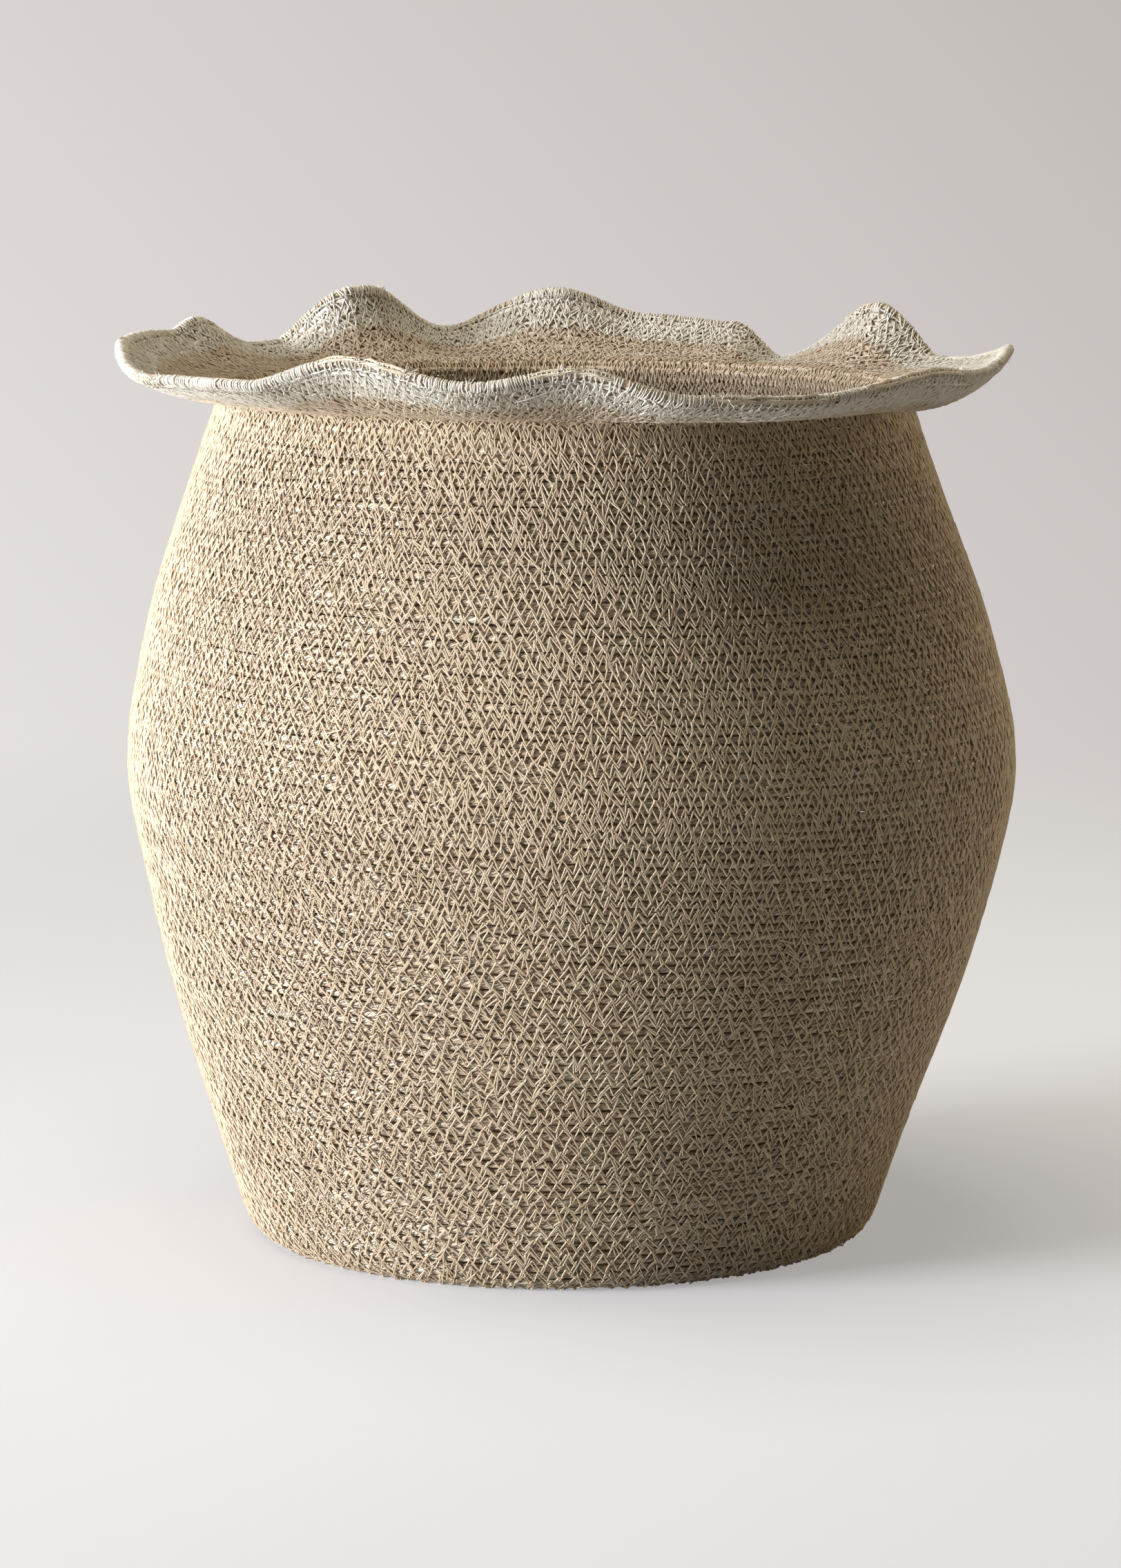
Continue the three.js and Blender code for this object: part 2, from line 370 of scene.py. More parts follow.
class NodeSketch:
    """A node tree that is being drawn, one node at a time."""

    def __init__(self, tree: bpy.types.NodeTree) -> None:
        """Starts on a tree.

        Args:
            tree: The tree to draw in.
        """
        self.tree = tree

    def add(self, kind: str, inputs: dict | None = None, **settings: object) -> bpy.types.Node:
        """Adds a node.

        Args:
            kind: Type of the node.
            inputs: What goes into its sockets, by name or number: a value, or an output socket.
            settings: Properties of the node itself.

        Returns:
            The node.
        """
        node = self.tree.nodes.new(kind)
        for name, value in settings.items():
            setattr(node, name, value)
        self.fill(node, inputs or {})
        return node

    def fill(self, node: bpy.types.Node, inputs: dict) -> None:
        """Puts values and links into the sockets of a node.

        Args:
            node: The node.
            inputs: A value or an output socket for each, by name or number.
        """
        for key, value in inputs.items():
            socket = node.inputs[key]
            if isinstance(value, bpy.types.NodeSocket):
                self.tree.links.new(value, socket)
            else:
                socket.default_value = value

    def math(self, operation: str, *values: object) -> bpy.types.NodeSocket:
        """Adds a sum on numbers, and returns its result."""
        node = self.add("ShaderNodeMath", dict(enumerate(values)), operation=operation)
        return node.outputs[0]

    def vector(self, operation: str, *values: object) -> bpy.types.NodeSocket:
        """Adds a sum on vectors, and returns its result."""
        node = self.add("ShaderNodeVectorMath", dict(enumerate(values)), operation=operation)
        return node.outputs["Value" if operation in ("LENGTH", "DOT_PRODUCT") else "Vector"]

    def step(self, value: bpy.types.NodeSocket, zero: float, one: float) -> bpy.types.NodeSocket:
        """Adds a smooth step between the values that give zero and one, and returns its result."""
        return self.add("ShaderNodeMapRange", {"Value": value, "From Min": zero, "From Max": one},
                        interpolation_type="SMOOTHSTEP").outputs[0]

    def carried(self, name: str, kind: str = "FLOAT_VECTOR") -> bpy.types.NodeSocket:
        """Reads an attribute that the points of a mesh carry, in Geometry Nodes."""
        return self.add("GeometryNodeInputNamedAttribute", {"Name": name},
                        data_type=kind).outputs["Attribute"]

    def store(self, made: bpy.types.NodeSocket, name: str, value: bpy.types.NodeSocket,
              kind: str) -> bpy.types.NodeSocket:
        """Stores an attribute on points, in Geometry Nodes, and returns what carries it."""
        return self.add("GeometryNodeStoreNamedAttribute",
                        {"Geometry": made, "Name": name, "Value": value},
                        data_type=kind, domain="POINT").outputs[0]


class GrowthTree:
    """Geometry Nodes that grow cord or thread on a bare mesh of edges or points."""

    SOCKETS = (("Geometry", "OUTPUT", "Geometry"), ("Geometry", "INPUT", "Geometry"),
               ("Radius", "INPUT", "Float"), ("Sides", "INPUT", "Int"),
               ("Finish", "INPUT", "Material"))

    def __init__(self, name: str) -> None:
        """Draws the tree, which ends in real, smooth geometry with its material.

        Args:
            name: Name of the tree.
        """
        self.tree = bpy.data.node_groups.new(name, "GeometryNodeTree")
        for title, way, kind in self.SOCKETS:
            self.tree.interface.new_socket(name=title, in_out=way,
                                           socket_type="NodeSocket" + kind)
        sketch = NodeSketch(self.tree)
        given = sketch.add("NodeGroupInput").outputs
        ring = sketch.add("GeometryNodeCurvePrimitiveCircle",
                          {"Resolution": given["Sides"], "Radius": given["Radius"]}).outputs[0]
        made = self._draw(sketch, given["Geometry"], ring)
        real = sketch.add("GeometryNodeRealizeInstances", {"Geometry": made}).outputs[0]
        smooth = sketch.add("GeometryNodeSetShadeSmooth", {"Geometry": real}).outputs[0]
        dressed = sketch.add("GeometryNodeSetMaterial",
                             {"Geometry": smooth, "Material": given["Finish"]}).outputs[0]
        sketch.add("NodeGroupOutput", {"Geometry": dressed})

    def _draw(self, sketch: NodeSketch, bare: bpy.types.NodeSocket,
              ring: bpy.types.NodeSocket) -> bpy.types.NodeSocket:
        """Draws the nodes between the bare mesh and the finished geometry.

        Args:
            sketch: The tree.
            bare: The bare mesh.
            ring: The section of the cord or thread, as a curve.

        Returns:
            What is grown.
        """
        raise NotImplementedError

    def grow(self, name: str, plan: "Paths | Stitches", radius: float, sides: int,
             finish: bpy.types.Material) -> bpy.types.Object:
        """Makes a piece of cord or thread.

        Args:
            name: Name of the piece.
            plan: The paths or stitches that it follows, in millimetres.
            radius: Radius of the cord or thread, in millimetres.
            sides: Sides of its section.
            finish: Its material.

        Returns:
            The piece, as a plain mesh.
        """
        carrier = plan.to_object(name + "_plan")
        modifier = carrier.modifiers.new("grow", "NODES")
        modifier.node_group = self.tree
        values = {"Radius": radius * MM, "Sides": sides, "Finish": finish}
        for item in self.tree.interface.items_tree:
            if item.item_type == "SOCKET" and item.in_out == "INPUT" and item.name in values:
                modifier[item.identifier] = values[item.name]
        graph = bpy.context.evaluated_depsgraph_get()
        mesh = bpy.data.meshes.new_from_object(carrier.evaluated_get(graph), depsgraph=graph)
        mesh.name = name
        carrier.modifiers.remove(modifier)
        bare = carrier.data
        bpy.data.objects.remove(carrier)
        bpy.data.meshes.remove(bare)
        return link(name, mesh)


class PathTree(GrowthTree):
    """Nodes that run a round cord or thread along every path of a mesh of edges.

    The paths carry the attributes thickness, a share of the radius, place, the distance along the
    path, tone, from dark to pale, and outward, the direction out of the sheet. The finished cord
    also carries around, the direction from its middle, and facing, how squarely its surface looks
    out of the sheet.
    """

    def _draw(self, sketch: NodeSketch, bare: bpy.types.NodeSocket,
              ring: bpy.types.NodeSocket) -> bpy.types.NodeSocket:
        """Draws a cord along the edges, closed at both ends."""
        paths = sketch.add("GeometryNodeMeshToCurve", {"Mesh": bare}).outputs[0]
        position = sketch.add("GeometryNodeInputPosition").outputs[0]
        ring = sketch.store(ring, "around", sketch.vector("NORMALIZE", position), "FLOAT_VECTOR")
        cord = sketch.add("GeometryNodeCurveToMesh", {
            "Curve": paths, "Profile Curve": ring, "Scale": sketch.carried("thickness", "FLOAT"),
            "Fill Caps": True}).outputs[0]
        normal = sketch.add("GeometryNodeInputNormal").outputs[0]
        facing = sketch.vector("DOT_PRODUCT", normal, sketch.carried("outward"))
        return sketch.store(cord, "facing", facing, "FLOAT")


class StitchTree(GrowthTree):
    """Nodes that lay one straight leg of thread at each point of a mesh.

    The points carry the attributes stitch, the vector from one needle hole to the next, outward,
    the direction out of the face that the leg lies on, and tone, from dark to pale.
    """

    RING_TURN = math.radians(90)

    def _draw(self, sketch: NodeSketch, bare: bpy.types.NodeSocket,
              ring: bpy.types.NodeSocket) -> bpy.types.NodeSocket:
        """Draws a leg of length one, and a copy of it at each point, turned and stretched."""
        line = sketch.add("GeometryNodeCurvePrimitiveLine",
                          {"Start": (-0.5, 0, 0), "End": (0.5, 0, 0)}).outputs[0]
        ring = sketch.add("GeometryNodeTransform",
                          {"Geometry": ring, "Rotation": (0, 0, self.RING_TURN)}).outputs[0]
        leg = sketch.add("GeometryNodeCurveToMesh",
                         {"Curve": line, "Profile Curve": ring, "Fill Caps": True}).outputs[0]
        stitch = sketch.carried("stitch")
        turn = sketch.add("FunctionNodeAxesToRotation",
                          {"Primary Axis": stitch, "Secondary Axis": sketch.carried("outward")},
                          primary_axis="X", secondary_axis="Z").outputs[0]
        size = sketch.add("ShaderNodeCombineXYZ",
                          {"X": sketch.vector("LENGTH", stitch), "Y": 1.0, "Z": 1.0}).outputs[0]
        return sketch.add("GeometryNodeInstanceOnPoints", {
            "Points": bare, "Instance": leg, "Rotation": turn, "Scale": size}).outputs[0]


@dataclass
class Paths:
    """Paths of cord or thread: their points, and how thick and how pale each is there."""

    points: list[np.ndarray] = field(default_factory=list)
    thickness: list[np.ndarray] = field(default_factory=list)
    tone: list[np.ndarray] = field(default_factory=list)
    outward: list[np.ndarray] = field(default_factory=list)

    def add(self, points: np.ndarray, thickness: np.ndarray | float, tone: np.ndarray | float,
            outward: np.ndarray | None = None) -> None:
        """Adds a path.

        Args:
            points: Its points, in millimetres.
            thickness: Share of the radius at each.
            tone: Tone of the finish at each, from 0, dark, to 1, pale.
            outward: Direction out of the sheet at each, where cords lie side by side.
        """
        self.outward.append(np.zeros_like(points) if outward is None else outward)
        self.points.append(points)
        self.thickness.append(np.broadcast_to(thickness, len(points)).astype(float))
        self.tone.append(np.broadcast_to(tone, len(points)).astype(float))

    def to_object(self, name: str) -> bpy.types.Object:
        """The paths as a mesh of edges, with their attributes.

        Args:
            name: Name of the object.

        Returns:
            The object, linked to the scene.
        """
        counts = [len(points) for points in self.points]
        first = np.cumsum([0, *counts[:-1]])
        edges = np.concatenate([np.stack([np.arange(start, start + count - 1),
                                          np.arange(start + 1, start + count)], 1)
                                for start, count in zip(first, counts)])
        place = np.concatenate([
            np.concatenate([[0], np.cumsum(np.linalg.norm(np.diff(path, axis=0), axis=1))])
            for path in self.points]) * MM
        return bare_mesh(name, np.concatenate(self.points), edges, {
            "thickness": np.concatenate(self.thickness), "place": place,
            "tone": np.concatenate(self.tone), "outward": np.concatenate(self.outward)})


@dataclass
class Stitches:
    """Legs of a zigzag of thread, each from one needle hole to the next."""

    start: np.ndarray
    end: np.ndarray
    outward: np.ndarray
    tone: np.ndarray

    def to_object(self, name: str) -> bpy.types.Object:
        """The legs as a mesh of points in their middles, with their attributes."""
        return bare_mesh(name, (self.start + self.end) / 2, np.empty((0, 2)), {
            "stitch": (self.end - self.start) * MM, "outward": self.outward, "tone": self.tone})


def bare_mesh(name: str, points: np.ndarray, edges: np.ndarray,
              attributes: dict[str, np.ndarray]) -> bpy.types.Object:
    """Makes an object of points and edges, whose points carry attributes.

    Args:
        name: Name of the object.
        points: The points, in millimetres.
        edges: Pairs of numbers of points; there may be none.
        attributes: A number or a vector for each point, by name.

    Returns:
        The object, linked to the scene.
    """
    mesh = bpy.data.meshes.new(name)
    mesh.vertices.add(len(points))
    mesh.vertices.foreach_set("co", (points * MM).astype(np.float32).ravel())
    if len(edges):
        mesh.edges.add(len(edges))
        mesh.edges.foreach_set("vertices", edges.astype(np.int32).ravel())
    for title, values in attributes.items():
        single = values.ndim == 1
        held = mesh.attributes.new(title, "FLOAT" if single else "FLOAT_VECTOR", "POINT")
        held.data.foreach_set("value" if single else "vector", values.astype(np.float32).ravel())
    return link(name, mesh)


def link(name: str, data: bpy.types.ID) -> bpy.types.Object:
    """Puts a mesh, lamp or camera in the scene under a name."""
    item = bpy.data.objects.new(name, data)
    bpy.context.scene.collection.objects.link(item)
    return item


# Finishes


@dataclass(frozen=True)
class SeagrassFinish:
    """Twisted seagrass: blades of mixed tones along the cord, with painted shade in the crevices
    between.

    The five tones go from dark to pale. Painted shade in pits, where there are any, takes the place
    of the painted crevice shade. Painted groove shade darkens the sides of the cord that look away
    from the face of the sheet.
    """

    TONE_STOPS = (0.02, 0.2, 0.42, 0.68, 0.95)
    FIBRES_ACROSS = 6.0
    FIBRES_ALONG = 1.5
    FIBRE_DETAIL = 5.0
    FIBRE_CRISPNESS = 0.7
    BLADE_SWING = 0.75
    FIBRE_SWING = 0.35
    TONE_DROP = 0.05
    MIDDLE_TONE = 0.5
    PIT_SHADE_EDGE = 0.12
    GROOVE_SHADE_EDGE = 0.3
    GROOVE_SHADE_UNEVENNESS = 0.3
    FIBRE_HEIGHT = 0.25
    FIBRE_POLISH = 0.2

    name: str = "seagrass"
    # Colour of the painted shade in the crevices, the pits and the grooves between rows
    crevice_shade: Colour = (0.10, 0.058, 0.027)
    tones: tuple[Colour, ...] = ((0.35, 0.225, 0.12), (0.49, 0.35, 0.20), (0.61, 0.46, 0.285),
                                 (0.70, 0.56, 0.37), (0.80, 0.70, 0.505))
    blade_length: float = 9.0
    blades_across: float = 1.3
    twist: float = 0.25
    crevice_shade_width: float = 0.10
    groove_shade: float = 0.27
    pit_shade: float = 0.0
    roughness: float = 0.45
    gloss: float = 1.0
    bump: float = 0.9
    bump_depth: float = 0.35

    def material(self) -> bpy.types.Material:
        """Makes the material."""
        material, sketch, shader = new_material(self.name)
        length = sketch.math("DIVIDE", attribute(sketch, "place", "Fac"), MM)
        turned = sketch.add("ShaderNodeVectorRotate", {
            "Vector": attribute(sketch, "around", "Vector"), "Axis": (0, 0, 1),
            "Angle": sketch.math("MULTIPLY", length, self.twist)},
            rotation_type="AXIS_ANGLE").outputs[0]
        sides = sketch.add("ShaderNodeSeparateXYZ", {0: turned}).outputs
        lengthwise = sketch.math("DIVIDE", length, self.blade_length)
        blades = sketch.add("ShaderNodeCombineXYZ",
                            {"X": sides[0], "Y": sides[1], "Z": lengthwise}).outputs[0]
        streaks = sketch.add("ShaderNodeCombineXYZ", {
            "X": sketch.math("MULTIPLY", sides[0], self.FIBRES_ACROSS),
            "Y": sketch.math("MULTIPLY", sides[1], self.FIBRES_ACROSS),
            "Z": sketch.math("MULTIPLY", lengthwise, self.FIBRES_ALONG)}).outputs[0]
        fibre = sketch.add("ShaderNodeTexNoise", {
            "Vector": streaks, "Scale": 1.0, "Detail": self.FIBRE_DETAIL,
            "Roughness": self.FIBRE_CRISPNESS}).outputs[0]
        cells = self._cells(sketch, blades, "F1")
        pick = sketch.add("ShaderNodeSeparateColor", {0: cells["Color"]}).outputs[0]
        mixed = sketch.math("ADD", sketch.math("MULTIPLY", pick, self.BLADE_SWING),
                            sketch.math("MULTIPLY", fibre, self.FIBRE_SWING))
        swing = sketch.math("SUBTRACT", attribute(sketch, "tone", "Fac"), self.MIDDLE_TONE)
        mixed = sketch.math("ADD", sketch.math("SUBTRACT", mixed, self.TONE_DROP), swing)
        colour = ramp(sketch, mixed, zip(self.TONE_STOPS, self.tones))
        # Mask of painted shade: low in the crevices between blades or in pits, high on the crests
        if self.pit_shade:
            unshaded_crest = sketch.step(cells["Distance"], self.pit_shade + self.PIT_SHADE_EDGE, self.pit_shade)
        else:
            edge = self._cells(sketch, blades, "DISTANCE_TO_EDGE")["Distance"]
            unshaded_crest = sketch.step(edge, 0.0, self.crevice_shade_width)
        # Painted groove shade: darkens the sides of the cord that turn away from the face of the
        # sheet
        if self.groove_shade:
            facing = sketch.math("ABSOLUTE", attribute(sketch, "facing", "Fac"))
            level = sketch.math("ADD", facing,
                                sketch.math("MULTIPLY", fibre, self.GROOVE_SHADE_UNEVENNESS))
            level = sketch.step(level, self.groove_shade, self.groove_shade + self.GROOVE_SHADE_EDGE)
            unshaded_crest = sketch.math("MULTIPLY", unshaded_crest, level)
        # The dark colour mixed in where the mask is low is painted shade
        shade = sketch.add("ShaderNodeMix", {0: unshaded_crest, "A": (*self.crevice_shade, 1), "B": colour},
                           data_type="RGBA").outputs["Result"]
        height = sketch.math("ADD", sketch.math("MULTIPLY", fibre, self.FIBRE_HEIGHT), unshaded_crest)
        bump = sketch.add("ShaderNodeBump", {"Height": height, "Strength": self.bump,
                                             "Distance": self.bump_depth * MM}).outputs[0]
        rough = sketch.math("ADD", sketch.math("MULTIPLY", fibre, -self.FIBRE_POLISH),
                            self.roughness + self.FIBRE_POLISH / 2)
        sketch.fill(shader, {"Base Color": shade, "Normal": bump, "Roughness": rough,
                             "Specular IOR Level": self.gloss})
        return material

    def _cells(self, sketch: NodeSketch, blades: bpy.types.NodeSocket,
               feature: str) -> bpy.types.bpy_prop_collection:
        """Adds the cells that stand for blades, and returns what they give."""
        return sketch.add("ShaderNodeTexVoronoi",
                          {"Vector": blades, "Scale": self.blades_across, "Randomness": 1.0},
                          feature=feature, voronoi_dimensions="3D").outputs


@dataclass(frozen=True)
class ThreadFinish:
    """Spun thread with a tone of its own in each stitch and a fine fuzz."""

    FUZZ_SCALE = 2200.0
    PATCH_SCALE = 90.0
    DETAIL = 2.0
    FUZZ_SWING = 0.35
    PATCH_SWING = 0.35
    STITCH_SWING = 0.4
    DARK_STOP = 0.3
    PALE_STOP = 0.75
    BUMP_DEPTH = 0.15
    SHEEN_ROUGHNESS = 0.45

    name: str = "thread"
    dark: Colour = (0.53, 0.41, 0.26)
    pale: Colour = (0.71, 0.585, 0.40)
    sheen: float = 1.0
    roughness: float = 0.62
    gloss: float = 0.6
    bump: float = 0.25

    def material(self) -> bpy.types.Material:
        """Makes the material."""
        material, sketch, shader = new_material(self.name)
        where = sketch.add("ShaderNodeTexCoord").outputs["Object"]
        fuzz, patches = (
            sketch.add("ShaderNodeTexNoise", {"Vector": where, "Scale": scale,
                                              "Detail": self.DETAIL}).outputs[0]
            for scale in (self.FUZZ_SCALE, self.PATCH_SCALE))
        mixed = sketch.math("ADD", sketch.math("MULTIPLY", fuzz, self.FUZZ_SWING),
                            sketch.math("MULTIPLY", patches, self.PATCH_SWING))
        tone = sketch.math("MULTIPLY", attribute(sketch, "tone", "Fac"), self.STITCH_SWING)
        mixed = sketch.math("ADD", mixed, tone)
        colour = ramp(sketch, mixed, ((self.DARK_STOP, self.dark), (self.PALE_STOP, self.pale)))
        bump = sketch.add("ShaderNodeBump", {"Height": fuzz, "Strength": self.bump,
                                             "Distance": self.BUMP_DEPTH * MM}).outputs[0]
        sketch.fill(shader, {
            "Base Color": colour, "Normal": bump, "Roughness": self.roughness,
            "Specular IOR Level": self.gloss, "Sheen Weight": self.sheen,
            "Sheen Roughness": self.SHEEN_ROUGHNESS, "Sheen Tint": (*self.pale, 1)})
        return material


def new_material(name: str) -> tuple[bpy.types.Material, NodeSketch, bpy.types.Node]:
    """Starts a material.

    Args:
        name: Its name.

    Returns:
        The material, a sketch of its tree, and its shader.
    """
    material = bpy.data.materials.new(name)
    material.use_nodes = True
    return material, NodeSketch(material.node_tree), material.node_tree.nodes["Principled BSDF"]


def attribute(sketch: NodeSketch, name: str, output: str) -> bpy.types.NodeSocket:
    """Reads an attribute of the piece's own mesh, in a material."""
    return sketch.add("ShaderNodeAttribute", attribute_name=name).outputs[output]


def ramp(sketch: NodeSketch, value: bpy.types.NodeSocket,
         stops: Iterable[tuple[float, Colour]]) -> bpy.types.NodeSocket:
    """Adds a ramp of colours.

    Args:
        sketch: The tree.
        value: What it is read by.
        stops: Pairs of place and colour, from low to high.

    Returns:
        The colour.
    """
    stops = list(stops)
    node = sketch.add("ShaderNodeValToRGB", {0: value})
    elements = node.color_ramp.elements
    while len(elements) < len(stops):
        elements.new(0.5)
    for element, (place, colour) in zip(elements, stops):
        element.position = place
        element.color = (*colour, 1)
    return node.outputs["Color"]


# The pieces


@dataclass
class Workshop:
    """What every piece is made with: the sheet, the coil, the two trees and the finishes."""

    sheet: Sheet
    coil: Coil
    paths: PathTree
    stitches: StitchTree
    seagrass: bpy.types.Material
    thread: bpy.types.Material
    soft_thread: bpy.types.Material
    white_thread: bpy.types.Material
    bare_strands: bpy.types.Material
    fuzzed_tan: bpy.types.Material
    fuzzed_white: bpy.types.Material


def place_piece(piece: bpy.types.Object, nodes: tuple[str, ...]) -> None:
    """Fixes a piece to the frame and reports it.

    Args:
        piece: The piece.
        nodes: The solids that it stands for.
    """
    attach(piece, ROOT)
    if nodes:
        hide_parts(*nodes)
    triangles = sum(len(face.vertices) - 2 for face in piece.data.polygons)
    LOG.info("%s: %d triangles", piece.name, triangles)


@dataclass
class SewnRows:
    """Rows of cord between two turns of the coil, with the zigzags that sew them on.

    Lengths are in millimetres. Values in capitals hold for every row; a pair that is named for a
    drift or a swell is the spacing and the size of its swings.
    """

    USUAL_LEG = 2.85
    THREAD_SIDES = {Face.OUTER: 4, Face.INNER: 3}
    FEWEST_STEPS = 12
    SWELL = (9.0, 0.05)
    TONE_DRIFT = (170.0, 0.085)
    PATCH_DRIFT = (34.0, 0.17)
    DARKEST_PATCH = -0.06
    TIP_SHARE = 0.25
    TIP_LENGTH = 30.0
    # Spacing in pairs of legs
    LEG_DRIFT = (40.0, 0.07)
    INNERMOST_TURN = 0.35
    EDGE_PLAY = (-0.6, 0.3)
    BEDDING = 0.6
    PROUD_PLAY = 0.8
    FLOOR_GAP = 0.25

    shop: Workshop
    name: str
    node: str
    first_turn: int
    last_turn: int
    seed: int
    slot: str = "seagrass_undyed"
    finish: bpy.types.Material | None = None
    thread: bpy.types.Material | None = None
    leg: float = USUAL_LEG
    inner_leg: float | None = None
    cord_step: float = 6.2
    cord_sides: int = 7
    cord_flatness: float = 0.93
    tone: float = 0.5
    thread_radius: float = 0.38
    overlap: float = 0.27
    inner_overlap: float | None = None
    slant: float = 0.57
    jitter: float = 0.5
    stray: float = 0.12
    sink: float = -0.1
    inner_sink: float = 0.0
    doubled: float = 0.55
    doubled_inside: bool = False
    slip: float = 1.1

    def build(self) -> None:
        """Makes the cord and both faces of the stitching."""
        cord = self.shop.paths.grow(self.name + "_cord", self._cord(), self._cord_radius(),
                                    self.cord_sides, self.finish or self.shop.seagrass)
        place_piece(cord, (self.node,))
        for face in Face:
            thread = self.shop.stitches.grow(
                f"{self.name}_{face.name.lower()}_thread", self._zigzag(face),
                self.thread_radius, self.THREAD_SIDES[face], self.thread or self.shop.thread)
            place_piece(thread, (self.node,))

    def _cord_radius(self) -> float:
        """Radius of the cord, less where the sewing squeezes it."""
        return self.shop.sheet.cord_thickness / 2 * self.cord_flatness

    def _cord(self) -> Paths:
        """The path of the cord, with the unevenness of grass wound by hand."""
        coil, sheet = self.shop.coil, self.shop.sheet
        length = coil.travelled(np.array([self.first_turn, self.last_turn], float))
        count = max(self.FEWEST_STEPS, int((length[1] - length[0]) / self.cord_step))
        travelled = np.linspace(length[0], length[1], count)
        along, angle = coil.locate(coil.turns_after(travelled))
        points = sheet.middle(along, angle)
        outward, _, onward = sheet.directions(along, angle)
        for number, direction in enumerate((outward, onward)):
            shift = wander(travelled, coil.wobble_spacing, coil.wobble, self.seed + number)
            points = points + direction * shift[:, None]
        points[:, 2] = np.maximum(points[:, 2], self._cord_radius() + self.FLOOR_GAP)
        thickness = 1 + wander(travelled, *self.SWELL, self.seed + 2)
        ends = np.minimum(travelled, coil.measure[-1] - travelled)
        taper = np.clip(self.TIP_SHARE + ends / self.TIP_LENGTH, self.TIP_SHARE, 1)
        patches = wander(travelled, *self.PATCH_DRIFT, self.seed + 4)
        tone = (self.tone + wander(travelled, *self.TONE_DRIFT, self.seed + 3)
                + np.maximum(patches, self.DARKEST_PATCH))
        paths = Paths()
        paths.add(points, thickness * taper, tone, outward)
        return paths

    def _holes(self, face: Face, draw: np.random.Generator) -> np.ndarray:
        """The turns of the coil at which the needle goes through.

        Args:
            face: The face of the sheet that the legs between the holes show on.
            draw: Source of the unevenness.

        Returns:
            Turns from the middle of the base, one for each hole.
        """
        coil = self.shop.coil
        last = min(self.last_turn, coil.turns - 1)
        start, end = coil.travelled(np.array([self.first_turn, last], float))
        leg = self.inner_leg if face is Face.INNER and self.inner_leg else self.leg
        pairs = int((end - start) / (2 * leg))
        stretch = 1 + wander(np.arange(pairs, dtype=float), *self.LEG_DRIFT, self.seed + 7)
        steps = np.outer(stretch, [2 * leg * self.slant, 2 * leg * (1 - self.slant)])
        holes = start + np.concatenate([[0], np.cumsum(steps.ravel())])
        holes = holes + draw.normal(0, self.jitter * leg / self.USUAL_LEG, len(holes))
        holes = np.clip(holes[holes < end], start, end)
        return np.maximum(coil.turns_after(holes), self.INNERMOST_TURN)

    def _zigzag(self, face: Face) -> Stitches:
        """The legs of the zigzag that sews each turn to the next.

        Args:
            face: The face of the sheet that they show on.

        Returns:
            The legs.
        """
        coil, sheet = self.shop.coil, self.shop.sheet
        draw = np.random.default_rng(self.seed + 50 + face.value)
        turns = self._holes(face, draw)
        inside = face is Face.INNER
        overlap = self.overlap
        if inside and self.inner_overlap is not None:
            overlap = self.inner_overlap
        reach = (overlap + draw.normal(0, self.stray, len(turns))) * sheet.row_pitch
        lower_along, angle = coil.locate(turns)
        upper_along, _ = coil.locate(turns + 1)
        upper = np.arange(len(turns)) % 2 == 0
        along = np.where(upper, upper_along + reach, lower_along - reach)
        along = np.minimum(along, sheet.collar_end + draw.uniform(*self.EDGE_PLAY, len(along)))
        outward = sheet.directions(along, angle)[0] * face.value
        proud = sheet.cord_thickness / 2 + self.thread_radius * self.BEDDING - self.sink
        proud -= self.inner_sink if inside else 0.0
        proud = proud + draw.normal(0, self.stray * self.PROUD_PLAY, len(turns))
        points = sheet.middle(along, angle) + outward * proud[:, None]
        points[:, 2] = np.maximum(points[:, 2], self.thread_radius)
        legs = points[:-1], points[1:], unit(outward[:-1] + outward[1:])
        if self.doubled_inside or not inside:
            legs = self._double(*legs, draw)
        return Stitches(*legs, draw.uniform(0, 1, len(legs[0])))

    def _double(self, start: np.ndarray, end: np.ndarray, outward: np.ndarray,
                draw: np.random.Generator) -> tuple[np.ndarray, ...]:
        """Adds a second leg, slipped along the sheet, to some of the legs.

        Args:
            start: Where the legs start.
            end: Where they end.
            outward: Their directions out of the sheet.
            draw: Source of the unevenness.

        Returns:
            The same for all legs, the second ones last.
        """
        again = draw.uniform(0, 1, len(start)) < self.doubled
        slip = draw.normal(0, self.slip, (2, int(again.sum()), 3))
        slip -= (slip * outward[again]).sum(-1, keepdims=True) * outward[again]
        ends = [np.concatenate([points, points[again] + moved])
                for points, moved in zip((start, end), slip)]
        for points in ends:
            points[:, 2] = np.maximum(points[:, 2], self.thread_radius)
        return *ends, np.concatenate([outward, outward[again]])


